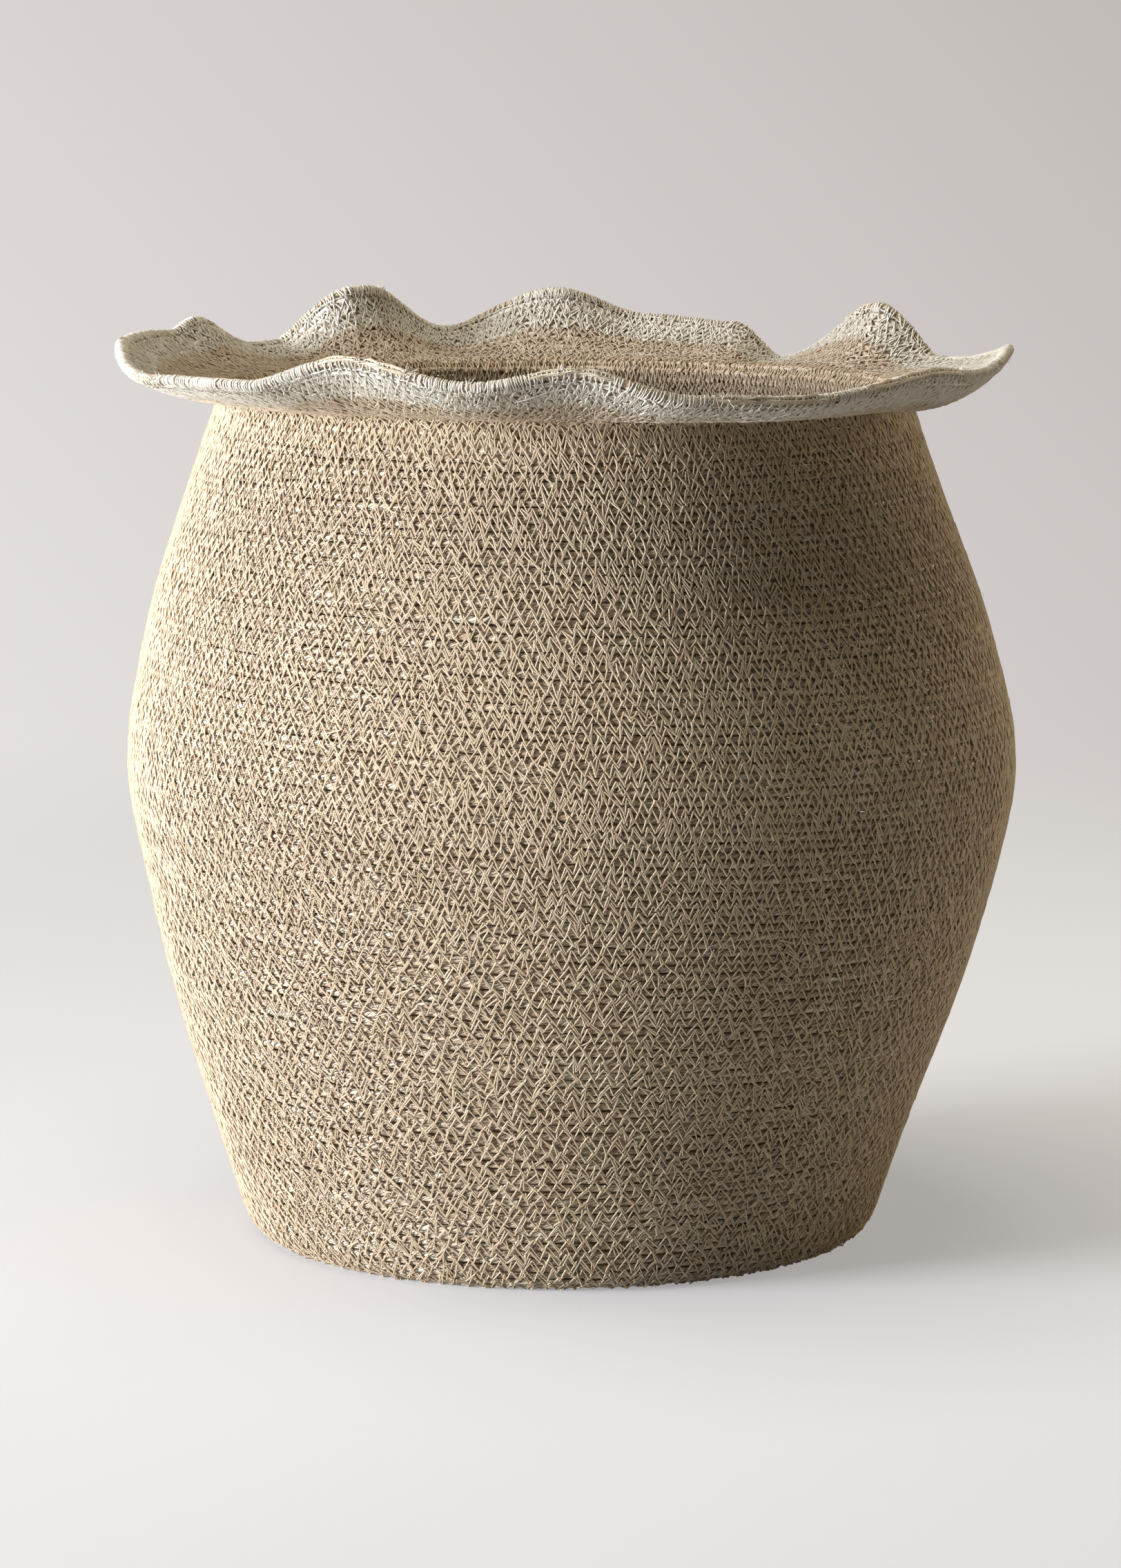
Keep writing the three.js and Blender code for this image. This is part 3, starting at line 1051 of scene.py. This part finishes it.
@dataclass
class Rim:
    """The last cord, of bare twisted strands, and the white thread that is wound over it.

    Lengths are in millimetres and angles in degrees. A pair that is named for a drift or a swell
    is the spacing, in degrees, and the size of its swings; one named for play is a range.
    """

    TUFT_ANGLES = (251.0, 259.0, 269.5, 289.0, 307.0, 339.0, 17.0, 47.0, 118.0, 163.0, 211.0)
    BARE_SPANS = ((238, 252), (265, 277.5), (287, 304), (308, 329), (40, 52), (140, 149),
                  (176, 184), (203, 212), (8, 16), (97, 104))
    # First and last angle of each thread, and its distances from the collar's edge there
    LOOSE_THREADS = ((251.3, 254.5, -6.5, -7.5), (263.8, 270.4, -8.5, -3.5), (96, 101, -6, -9),
                     (142, 147.5, -4.5, -8))

    STRAND_DRIFT = (6.0, 0.12)
    STRAND_SWELL = (3.0, 0.08)
    STRAND_TONE = 0.55
    STRAND_TONE_DRIFT = (9.0, 0.22)

    COVER_STEP = 0.45
    COVER_RUN_IN = 1.6
    COVER_ACROSS = 0.85
    COVER_LOW = 0.5
    COVER_CLIMB = 1.05
    COVER_DRIFT = (1.5, 0.3)
    COVER_CLIMB_DRIFT = (1.5, 0.12)
    COVER_THICKNESS = 0.45
    COVER_TONE = 0.7
    COVER_TONE_DRIFT = (2.0, 0.2)

    BEDDING = 0.8
    PITCH_DRIFT = (5.0, 0.2)
    PITCH_PLAY = (0.45, 1.55)
    SLOPE_DRIFT = (2.5, 0.8)
    SLOPE_PLAY = (-0.5, 1.1)
    BARE_SLOPE_PLAY = (0.3, 1.5)
    SLOPE_RUN = 2.4
    BITE_PLAY = 0.6
    TURN_PLAY = 0.08
    BOW_PLAY = 1.1
    BOW_LEVEL = 0.3
    TURN_THICKNESS = (0.8, 1.25)

    CHAIN_DEPTH_SHARE = 0.6
    CHAIN_DEPTH_DRIFT = (0.5, 0.4)
    CHAIN_SINK = 0.05
    CHAIN_LIFT_DRIFT = (0.5, 0.22)
    CHAIN_SWELL = (0.8, 0.25)
    CHAIN_TONE = 0.7

    ENDS_PER_TUFT = 9
    TUFT_SPREAD = 0.45
    END_POINTS = 5
    END_LENGTH = (1.2, 3.4)
    END_CLEARANCE = 1.6
    END_THICKNESS_SHARE = 0.75
    END_TIP_SHARE = 0.6
    END_TONE = (0.4, 1)
    LOOSE_POINTS = 14
    LOOSE_LIFT = 0.75
    LOOSE_WAVE = 0.35
    LOOSE_WAVE_TURN = 7
    LOOSE_THICKNESS = 0.85
    LOOSE_TONE = 0.9

    shop: Workshop
    strands: int = 4
    strand_radius: float = 0.95
    strand_offset: float = 0.85
    strand_sides: int = 6
    lay_length: float = 14.0
    strand_step: float = 1.6
    thread_radius: float = 0.38
    thread_sides: int = 4
    chain_radius: float = 0.42
    wrap_pitch: float = 0.8
    bare_pitch: float = 1.7
    bite: float = 3.1
    seed: int = 71

    def __post_init__(self) -> None:
        """Takes the belly's girth as the way round, and works out a millimetre's angle."""
        self.around = np.pi * self.shop.sheet.belly_diameter
        self.degree = 360 / self.around

    def build(self) -> None:
        """Makes the strands, the whipping, its lock threads and the ends of thread."""
        strands = self.shop.paths.grow("rim_strands", self._strands(), self.strand_radius,
                                       self.strand_sides, self.shop.bare_strands)
        place_piece(strands, ("rim_cord",))
        for name, paths, radius, nodes in (
                ("rim_whipping_thread", self._wraps(), self.thread_radius, ("rim_whipping",)),
                ("rim_lock_threads", self._chains(), self.chain_radius, ("rim_whipping",)),
                ("rim_thread_ends", self._tufts(),
                 self.thread_radius * self.END_THICKNESS_SHARE, ())):
            thread = self.shop.paths.grow(name, paths, radius, self.thread_sides,
                                          self.shop.white_thread)
            place_piece(thread, nodes)

    def _strands(self) -> Paths:
        """The twisted strands, each a path that goes once round, and those that cover thread."""
        sheet = self.shop.sheet
        paths = Paths()
        angle = (np.linspace(0, 360, int(self.around / self.strand_step))
                 + self.shop.coil.start_angle)
        middle = sheet.middle(sheet.rim_middle, angle)
        outward, _, onward = sheet.directions(np.full_like(angle, sheet.rim_middle), angle)
        twists = round(self.around / self.lay_length)
        for strand in range(self.strands):
            seed = self.seed + strand
            turn = np.radians((angle - angle[0]) * twists + 360 * strand / self.strands)
            reach = self.strand_offset * (1 + wander(angle, *self.STRAND_DRIFT, seed))
            points = (middle + outward * (np.cos(turn) * reach)[:, None]
                      + onward * (np.sin(turn) * reach)[:, None])
            tone = self.STRAND_TONE + wander(angle, *self.STRAND_TONE_DRIFT, seed + 10)
            paths.add(points, 1 + wander(angle, *self.STRAND_SWELL, seed + 20), tone)
        for number, (low, high) in enumerate(self.BARE_SPANS):
            for side in (-1, 1):
                self._cover(paths, low, high, side, self.seed + 90 + 5 * number + side)
        return paths

    def _cover(self, paths: Paths, low: float, high: float, side: int, seed: int) -> None:
        """Adds a strand that lies over the whipping, along the top of the rim.

        Args:
            paths: Where it is added.
            low: The angle at which it comes up.
            high: The angle at which it goes under again.
            side: The side of the rim's crest, 1 for the outer one.
            seed: Seed of its unevenness.
        """
        sheet = self.shop.sheet
        angle = np.arange(low, high, self.COVER_STEP)
        middle = sheet.middle(sheet.rim_middle, angle)
        outward, _, onward = sheet.directions(np.full_like(angle, sheet.rim_middle), angle)
        ends = np.clip(np.minimum(angle - low, angle[-1] - angle) / self.COVER_RUN_IN, 0, 1)
        across = side * self.COVER_ACROSS + wander(angle, *self.COVER_DRIFT, seed)
        up = (self.COVER_LOW + self.COVER_CLIMB * ends
              + wander(angle, *self.COVER_CLIMB_DRIFT, seed + 1))
        points = middle + outward * across[:, None] + onward * up[:, None]
        paths.add(points, self.COVER_THICKNESS + self.COVER_THICKNESS * ends,
                  self.COVER_TONE + wander(angle, *self.COVER_TONE_DRIFT, seed + 2))

    def _wraps(self) -> Paths:
        """The turns of thread: over the rim and down both faces of the row under it."""
        draw = np.random.default_rng(self.seed)
        paths = Paths()
        angle = 0.0
        whole_degrees = np.arange(361.0)
        spread = wander(whole_degrees, *self.PITCH_DRIFT, self.seed + 40)
        slopes = wander(whole_degrees, *self.SLOPE_DRIFT, self.seed + 41)
        lean = 1
        while angle < 360:
            bare = any(low < angle < high for low, high in self.BARE_SPANS)
            pitch = self.bare_pitch if bare else self.wrap_pitch * (1 + spread[int(angle)])
            angle += self.degree * pitch * draw.uniform(*self.PITCH_PLAY)
            lean = -lean
            slope = draw.uniform(*(self.BARE_SLOPE_PLAY if bare else self.SLOPE_PLAY))
            self._wrap(paths, angle, lean * slope + slopes[int(angle) % 360], draw)
        return paths

    def _wrap(self, paths: Paths, angle: float, lean: float,
              draw: np.random.Generator) -> None:
        """Adds one turn of thread.

        Args:
            paths: Where it is added.
            angle: Where it is on the rim.
            lean: How steeply it runs along the rim, as a share of the usual run.
            draw: Source of the unevenness.
        """
        sheet = self.shop.sheet
        bite = self.bite + draw.normal(0, self.BITE_PLAY)
        bedding = self.thread_radius * self.BEDDING
        face = sheet.cord_thickness / 2 + bedding
        radius = self.strand_offset + self.strand_radius + bedding
        # Up from the middle of the rim's cord, and out from the middle of the sheet
        half = np.array([
            [-bite - 0.3, face - 0.7], [-bite + 0.3, face + 0.1], [-bite * 0.4, radius + 0.05],
            [-0.1, radius], [1.2, radius * 0.78]])
        outline = np.concatenate([half, [[radius, 0.0]], half[::-1] * [1, -1]])
        outline = outline + draw.normal(0, self.TURN_PLAY, outline.shape)
        share = np.linspace(-0.5, 0.5, len(outline))
        run = (lean * self.SLOPE_RUN * share
               + draw.normal(0, self.BOW_PLAY) * (4 * share**2 - self.BOW_LEVEL))
        place = angle + run * self.degree
        along = sheet.rim_middle + np.zeros(len(outline))
        below = along + np.minimum(outline[:, 0], 0)
        onward = sheet.directions(along, place)[2]
        over = sheet.middle(along, place) + onward * np.maximum(outline[:, 0], 0)[:, None]
        side = sheet.directions(below, place)[0]
        points = (np.where(outline[:, :1] > 0, over, sheet.middle(below, place))
                  + side * outline[:, 1:])
        paths.add(points, draw.uniform(*self.TURN_THICKNESS), draw.uniform(0, 1))

    def _chains(self) -> Paths:
        """The threads that lock the turns along both faces, just below the rim."""
        sheet = self.shop.sheet
        paths = Paths()
        angle = np.linspace(0, 360, int(self.around / self.strand_step))
        for count, face in enumerate(Face):
            seed = self.seed + 80 + 3 * count
            along = (sheet.rim_middle - self.bite * self.CHAIN_DEPTH_SHARE
                     + wander(angle, *self.CHAIN_DEPTH_DRIFT, seed))
            outward = sheet.directions(along, angle)[0] * face.value
            lift = (sheet.cord_thickness / 2 - self.CHAIN_SINK
                    + wander(angle, *self.CHAIN_LIFT_DRIFT, seed + 1))
            points = sheet.middle(along, angle) + outward * lift[:, None]
            paths.add(points, 1 + wander(angle, *self.CHAIN_SWELL, seed + 2), self.CHAIN_TONE)
        return paths

    def _tufts(self) -> Paths:
        """Knotted and cut ends of thread at the rim, and loose threads on the collar."""
        sheet = self.shop.sheet
        draw = np.random.default_rng(self.seed + 60)
        paths = Paths()
        for angle in self.TUFT_ANGLES:
            for _ in range(self.ENDS_PER_TUFT):
                place = np.array(angle + draw.normal(0, self.TUFT_SPREAD))
                along = np.array(sheet.rim_middle)
                outward, round_, onward = sheet.directions(along, place)
                start = sheet.middle(along, place)
                towards = unit(onward * draw.uniform(0.3, 1.3) + outward * draw.normal(0.2, 0.8)
                               + round_ * draw.normal(0, 0.6))
                bend = unit(np.cross(towards, round_ + outward * 0.3)) * draw.normal(0, 1.0)
                share = np.linspace(0, 1, self.END_POINTS)[:, None]
                length = draw.uniform(*self.END_LENGTH)
                points = (start + towards * (self.END_CLEARANCE + length * share)
                          + bend * share**2 + round_ * np.sin(share * 5) * draw.normal(0, 0.3))
                paths.add(points, np.linspace(1, self.END_TIP_SHARE, self.END_POINTS),
                          draw.uniform(*self.END_TONE))
        for first, last, low, high in self.LOOSE_THREADS:
            share = np.linspace(0, 1, self.LOOSE_POINTS)
            along = sheet.collar_end + low + (high - low) * share
            place = first + (last - first) * share
            outward = sheet.directions(along, place)[0]
            lift = (sheet.cord_thickness / 2 + self.LOOSE_LIFT
                    + self.LOOSE_WAVE * np.sin(share * self.LOOSE_WAVE_TURN))
            points = sheet.middle(along, place) + outward * lift[:, None]
            paths.add(points, self.LOOSE_THICKNESS, self.LOOSE_TONE)
        return paths


@dataclass
class StrayFibres:
    """Fine ends of grass and thread that stand out of the rows."""

    LENGTH = (2.5, 7.0)
    START_LIFT = 1.8
    ARCH = (0.5, 2.0)
    ARCH_TURN = 2.4
    CURL = 0.9
    TIP_SHARE = 0.45
    TONE = (0.3, 1)
    POINTS = 5

    shop: Workshop
    count: int = 520
    radius: float = 0.085
    sides: int = 3
    seed: int = 91

    def build(self) -> None:
        """Makes the fibres."""
        draw = np.random.default_rng(self.seed)
        sheet = self.shop.sheet
        paths = Paths()
        share = np.linspace(0, 1, self.POINTS)[:, None]
        for _ in range(self.count):
            along = draw.uniform(sheet.heel_end, sheet.collar_end)
            angle = draw.uniform(0, 360)
            start = sheet.middle(along, angle)
            outward, round_, onward = sheet.directions(np.array(along), np.array(angle))
            heading = unit(round_ * draw.normal(0, 1) + onward * draw.normal(0, 0.8))
            length = draw.uniform(*self.LENGTH)
            arch = draw.uniform(*self.ARCH) * np.sin(share * self.ARCH_TURN)
            curl = unit(np.cross(outward, heading)) * draw.normal(0, self.CURL) * share**2
            points = (start + heading * length * share + outward * (self.START_LIFT + arch)
                      + curl)
            paths.add(points, np.linspace(1, self.TIP_SHARE, self.POINTS),
                      draw.uniform(*self.TONE))
        fibres = self.shop.paths.grow("stray_fibres", paths, self.radius, self.sides,
                                      self.shop.bare_strands)
        place_piece(fibres, ())


# Studio


@dataclass(frozen=True)
class Lamp:
    """A square lamp that looks at the belly. Its power is in watts, its lengths in metres.

    It stands so many degrees behind the basket's left-hand side, or before it if negative, and so
    many degrees above level.
    """

    AIM = (0, 0, 0.2)

    name: str
    power: float
    colour: Colour
    side: float
    behind: float
    elevation: float
    distance: float

    def build(self) -> None:
        """Adds the lamp."""
        data = bpy.data.lights.new(self.name, "AREA")
        data.energy, data.color, data.size = self.power, self.colour, self.side
        lamp = link(self.name, data)
        turn, up = math.radians(self.behind), math.radians(self.elevation)
        towards = Vector((-math.cos(turn) * math.cos(up), math.sin(turn) * math.cos(up),
                          math.sin(up)))
        lamp.location = Vector(self.AIM) + towards * self.distance
        lamp.rotation_euler = towards.to_track_quat("Z", "Y").to_euler()


@dataclass
class Studio:
    """Pale floor and backdrop, three soft lamps, and the photograph's camera."""

    KEY = Lamp("key", power=180.0, colour=(0.95, 0.99, 1.11), side=1.3, behind=-22.5,
               elevation=8.0, distance=3.0)
    TOP = Lamp("top", power=32.0, colour=(1.0, 0.92, 0.80), side=1.6, behind=-20.0,
               elevation=80.0, distance=2.2)
    FILL = Lamp("fill", power=13.0, colour=(1.0, 0.81, 0.54), side=0.9, behind=157.0,
                elevation=10.0, distance=2.4)

    focal_length: float = 122.6
    sensor: float = 36.0
    camera_distance: float = 2.4
    camera_height: float = 0.563
    camera_pitch: float = 8.55
    view_start: float = 0.05
    view_end: float = 60.0
    world_strength: float = 0.004
    floor_radius: float = 3.0
    floor_sides: int = 64
    near_floor: float = 0.62
    far_floor: float = 1.7
    floor_colour: Colour = (0.525, 0.52, 0.518)
    # Painted light: a glow on the floor that only the camera sees, brighter to the right and to the
    # back
    floor_painted_glow: float = 0.64
    floor_painted_glow_across: float = 0.07
    floor_painted_glow_back: float = 0.08
    backdrop: Colour = (0.61, 0.577, 0.558)
    # Painted light fall-off of the backdrop: lighter to the left and lower down
    backdrop_painted_falloff_across: float = -0.74
    backdrop_painted_falloff_up: float = -0.67
    backdrop_sides: float = 0.12
    backdrop_low: float = -0.3
    backdrop_high: float = 0.02

    def build(self) -> None:
        """Makes the camera, the lamps, the world and the floor."""
        scene = bpy.context.scene
        scene.view_settings.view_transform = "Standard"
        self._camera(scene)
        for lamp in (self.KEY, self.TOP, self.FILL):
            lamp.build()
        self._world(scene)
        self._floor()

    def _camera(self, scene: bpy.types.Scene) -> None:
        """Sets the camera where the photograph was taken from."""
        data = bpy.data.cameras.new("camera")
        data.lens = self.focal_length
        data.sensor_width = self.sensor
        data.sensor_fit = "AUTO"
        data.dof.use_dof = False
        data.clip_start, data.clip_end = self.view_start, self.view_end
        camera = link("camera", data)
        camera.location = (0, -self.camera_distance, self.camera_height)
        camera.rotation_euler = (math.radians(90 - self.camera_pitch), 0, 0)
        scene.camera = camera

    def _world(self, scene: bpy.types.Scene) -> None:
        """Dim, even light for the object, and for the camera the backdrop's pale grey, with painted
        light fall-off: lighter to the left and lower down.
        """
        world = bpy.data.worlds.new("studio")
        world.use_nodes = True
        sketch = NodeSketch(world.node_tree)
        world.node_tree.nodes.clear()
        light = sketch.add("ShaderNodeBackground", {"Color": (*self.FILL.colour, 1),
                                                    "Strength": self.world_strength})
        heading = sketch.add("ShaderNodeTexCoord").outputs["Generated"]
        heading = sketch.add("ShaderNodeSeparateXYZ", {0: heading}).outputs
        sides = sketch.add("ShaderNodeClamp", {0: heading[0], "Min": -self.backdrop_sides,
                                               "Max": self.backdrop_sides}).outputs[0]
        rise = sketch.add("ShaderNodeClamp", {0: heading[2], "Min": self.backdrop_low,
                                              "Max": self.backdrop_high}).outputs[0]
        # Painted light fall-off: the backdrop's grey is lighter to the left and lower down
        change = sketch.math("ADD", sketch.math("MULTIPLY", sides, self.backdrop_painted_falloff_across),
                             sketch.math("MULTIPLY", rise, self.backdrop_painted_falloff_up))
        painted_falloff_grey = sketch.add("ShaderNodeCombineXYZ", {0: change, 1: change, 2: change}).outputs[0]
        colour = sketch.vector("ADD", painted_falloff_grey, self.backdrop)
        shown = sketch.add("ShaderNodeBackground", {"Color": colour})
        mix = sketch.add("ShaderNodeMixShader",
                         {0: self._seen(sketch), 1: light.outputs[0], 2: shown.outputs[0]})
        sketch.add("ShaderNodeOutputWorld", {"Surface": mix.outputs[0]})
        scene.world = world

    def _seen(self, sketch: NodeSketch) -> bpy.types.NodeSocket:
        """One where the camera looks, straight or by way of gloss or glass, and otherwise zero."""
        ray = sketch.add("ShaderNodeLightPath").outputs
        seen = sketch.math("MAXIMUM", ray["Is Camera Ray"], ray["Is Glossy Ray"])
        return sketch.math("MAXIMUM", seen, ray["Is Transmission Ray"])

    def _floor(self) -> None:
        """Makes the floor, which keeps the shadow, has a painted glow for the camera, brighter to
        the right and towards the back, and melts into the backdrop farther off.
        """
        mesh = bpy.data.meshes.new("floor")
        corners = [(math.cos(turn) * self.floor_radius, math.sin(turn) * self.floor_radius, 0)
                   for turn in np.linspace(0, 2 * math.pi, self.floor_sides + 1)[:-1]]
        mesh.from_pydata(corners, [], [list(range(len(corners)))])
        floor = link("floor", mesh)
        material = bpy.data.materials.new("floor")
        material.use_nodes = True
        sketch = NodeSketch(material.node_tree)
        sketch.tree.nodes.clear()
        seen = self._seen(sketch)
        where = sketch.add("ShaderNodeTexCoord").outputs["Object"]
        place = sketch.add("ShaderNodeSeparateXYZ", {0: where}).outputs
        # Painted light: the floor's glow, brighter to the right and towards the back
        painted_glow = sketch.math("ADD", sketch.math("MULTIPLY", place[0], self.floor_painted_glow_across),
                           sketch.math("MULTIPLY", place[1], self.floor_painted_glow_back))
        painted_glow = sketch.math("MULTIPLY", sketch.math("ADD", painted_glow, self.floor_painted_glow), seen)
        painted_glow_shader = sketch.add("ShaderNodeEmission", {"Color": (*self.floor_colour, 1),
                                                  "Strength": painted_glow}).outputs[0]
        matt = sketch.add("ShaderNodeBsdfDiffuse",
                          {"Color": (*self.floor_colour, 1)}).outputs[0]
        near = sketch.add("ShaderNodeAddShader", {0: matt, 1: painted_glow_shader}).outputs[0]
        clear = sketch.add("ShaderNodeBsdfTransparent").outputs[0]
        away = sketch.step(sketch.vector("LENGTH", where), self.near_floor, self.far_floor)
        away = sketch.math("MULTIPLY", away, seen)
        mix = sketch.add("ShaderNodeMixShader", {0: away, 1: near, 2: clear}).outputs[0]
        sketch.add("ShaderNodeOutputMaterial", {"Surface": mix})
        mesh.materials.append(material)


def wall_pieces(first: int, last: int, count: int) -> list[tuple[int, int]]:
    """Cuts a run of turns into pieces of a size that a mesh can hold.

    Args:
        first: The first turn.
        last: The turn after the last one.
        count: How many pieces to make.

    Returns:
        The first turn of each piece and the turn after its last one.
    """
    share = (last - first) // count
    edges = [first + share * number for number in range(count)] + [last]
    return list(zip(edges[:-1], edges[1:]))


def basket_parts(shop: Workshop) -> list[SewnRows]:
    """The coiled rows, from the floor up.

    Args:
        shop: What they are made with.

    Returns:
        The rows of each piece.
    """
    sheet, coil = shop.sheet, shop.coil
    heel, lower, upper, neck, collar, white = (coil.turn_at(edge) for edge in (
        sheet.heel_start, sheet.heel_end, sheet.splice, sheet.neck_start, sheet.crease_end,
        sheet.white_start))
    long_leg, usual_leg, sparse_leg = 3.45, SewnRows.USUAL_LEG, 4.2
    walls = [("lower_wall", number, turns, leg, sparse_leg) for number, (turns, leg) in enumerate(
        zip(wall_pieces(lower, upper, 3), (long_leg, long_leg, usual_leg)), 1)]
    walls += [("upper_wall", number, turns, leg, inner_leg) for number, (turns, leg, inner_leg) in
              enumerate(zip(wall_pieces(upper, neck, 2), (usual_leg, 2.6), (sparse_leg, 2.2)), 1)]
    collar_sewing = {
        "inner_overlap": 0.1, "cord_step": 4.4, "cord_flatness": 1.05, "doubled": 1.0,
        "doubled_inside": True, "slip": 0.8, "jitter": 0.9, "stray": 0.16, "sink": 0.0,
        "inner_sink": 0.1}
    return [
        SewnRows(shop, "base", "base_coil", 0, heel, seed=100, leg=3.1, cord_step=4.4,
                 doubled=0.0, sink=0.12),
        SewnRows(shop, "heel", "heel_coil", heel, lower, seed=200, leg=long_leg),
        *(SewnRows(shop, f"{name}_{number}", name + "_coil", *turns, seed=300 + 100 * count,
                   leg=leg, inner_leg=inner_leg)
          for count, (name, number, turns, leg, inner_leg) in enumerate(walls)),
        SewnRows(shop, "neck", "neck_coil", neck, collar, seed=800, leg=1.9, inner_leg=1.3,
                 stray=0.14, jitter=0.8, inner_overlap=0.1, tone=0.4, finish=shop.fuzzed_tan),
        SewnRows(shop, "collar_undyed", "collar_undyed_coil", collar, white, seed=900, leg=1.9,
                 thread_radius=0.4, thread=shop.soft_thread, finish=shop.fuzzed_tan,
                 **collar_sewing),
        SewnRows(shop, "collar_white", "collar_white_coil", white, coil.turns, seed=1000,
                 leg=1.8, thread_radius=0.42, thread=shop.white_thread,
                 finish=shop.fuzzed_white, slot="seagrass_white_sewn", **collar_sewing),
    ]


def open_workshop() -> Workshop:
    """Sets out the sheet, the coil, the trees of nodes and the finishes."""
    sheet = Sheet()
    soft = {"roughness": 0.8, "gloss": 0.25}
    # A groove of 0 turns off the painted groove shade
    fuzz = {"groove_shade": 0.0, "blade_length": 2.6, "blades_across": 1.0, "twist": 0.0, "gloss": 0.3,
            "bump": 0.4, "bump_depth": 0.2}
    return Workshop(
        sheet, Coil(sheet), PathTree("cord_along_paths"), StitchTree("stitches_on_points"),
        seagrass=SeagrassFinish().material(),
        thread=ThreadFinish("undyed_thread").material(),
        soft_thread=ThreadFinish("collar_thread", dark=(0.52, 0.42, 0.295),
                                 pale=(0.69, 0.59, 0.445), **soft).material(),
        white_thread=ThreadFinish("white_thread", dark=(0.64, 0.585, 0.475),
                                  pale=(0.77, 0.725, 0.615), sheen=0.3, **soft).material(),
        bare_strands=SeagrassFinish("bare_strands", blade_length=14.0, crevice_shade_width=0.05,
                                    groove_shade=0.0).material(),
        # The pits and dark crevice colours of the fuzzed finishes are painted shade
        fuzzed_tan=SeagrassFinish(
            "fuzzed_tan", crevice_shade=(0.13, 0.072, 0.034), pit_shade=0.66,
            tones=((0.52, 0.395, 0.26), (0.57, 0.45, 0.315), (0.62, 0.50, 0.36),
                   (0.67, 0.555, 0.41), (0.73, 0.63, 0.48)), **fuzz).material(),
        fuzzed_white=SeagrassFinish(
            "fuzzed_white", crevice_shade=(0.18, 0.11, 0.06), pit_shade=0.68,
            tones=((0.68, 0.61, 0.50), (0.71, 0.65, 0.54), (0.74, 0.68, 0.58),
                   (0.77, 0.72, 0.62), (0.80, 0.75, 0.65)), **fuzz).material(),
    )


def main() -> None:
    """Builds the basket and its studio."""
    logging.basicConfig(level=logging.INFO, format="%(name)s %(message)s")
    Studio().build()
    shop = open_workshop()
    for rows in basket_parts(shop):
        rows.build()
    Rim(shop).build()
    StrayFibres(shop).build()


if __name__ == "__main__":
    main()
